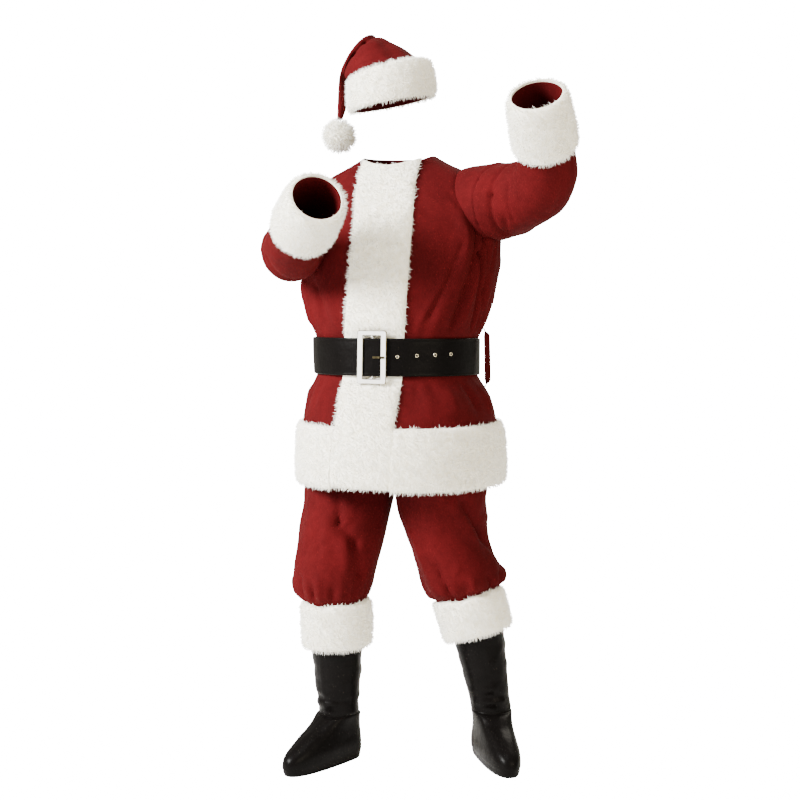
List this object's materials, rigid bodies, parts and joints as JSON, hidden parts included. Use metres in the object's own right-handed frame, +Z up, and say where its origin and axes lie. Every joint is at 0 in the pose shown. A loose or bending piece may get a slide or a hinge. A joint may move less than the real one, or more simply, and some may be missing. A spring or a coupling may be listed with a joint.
{
  "type": "santa suit",
  "caption": "Worn red velour suit with white fur trim: belted coat, knee-length trousers, folded hat with pompom, wide vinyl belt and boot tops, hollow as on a standing wearer.",
  "frame": {"origin": "centre of the coat's neck opening, 1.468 m above the floor, where the suit is held up", "axes": "+Z up, -Y out of the coat's front, +X to the wearer's left"},
  "size_m": [0.7889, 0.656, 1.7669],
  "materials": {
    "red_velour": "soft pile with a sheen",
    "white_fur": "long soft pile",
    "black_vinyl": "glossy",
    "buckle_metal": "polished"
  },
  "bodies": {
    "root": {"coat_front_left": "red_velour", "coat_front_right": "red_velour", "coat_back": "red_velour", "coat_sleeve_left": "red_velour", "coat_sleeve_right": "red_velour", "belt_loop_left": "red_velour", "belt_loop_right": "red_velour", "trouser_left": "red_velour", "trouser_right": "red_velour", "trouser_waistband": "red_velour", "hat_crown": "red_velour", "coat_placket_fur": "white_fur", "coat_hem_fur_left": "white_fur", "coat_hem_fur_right": "white_fur", "coat_hem_fur_back": "white_fur", "coat_cuff_fur_left": "white_fur", "coat_cuff_fur_right": "white_fur", "trouser_cuff_fur_left": "white_fur", "trouser_cuff_fur_right": "white_fur", "hat_fur_band": "white_fur", "hat_pompom": "white_fur", "belt_strap": "black_vinyl", "boot_left": "black_vinyl", "boot_right": "black_vinyl", "buckle_frame": "buckle_metal", "buckle_prong": "buckle_metal", "eyelet_1": "buckle_metal", "eyelet_2": "buckle_metal", "eyelet_3": "buckle_metal", "eyelet_4": "buckle_metal"}
  },
  "joints": []
}
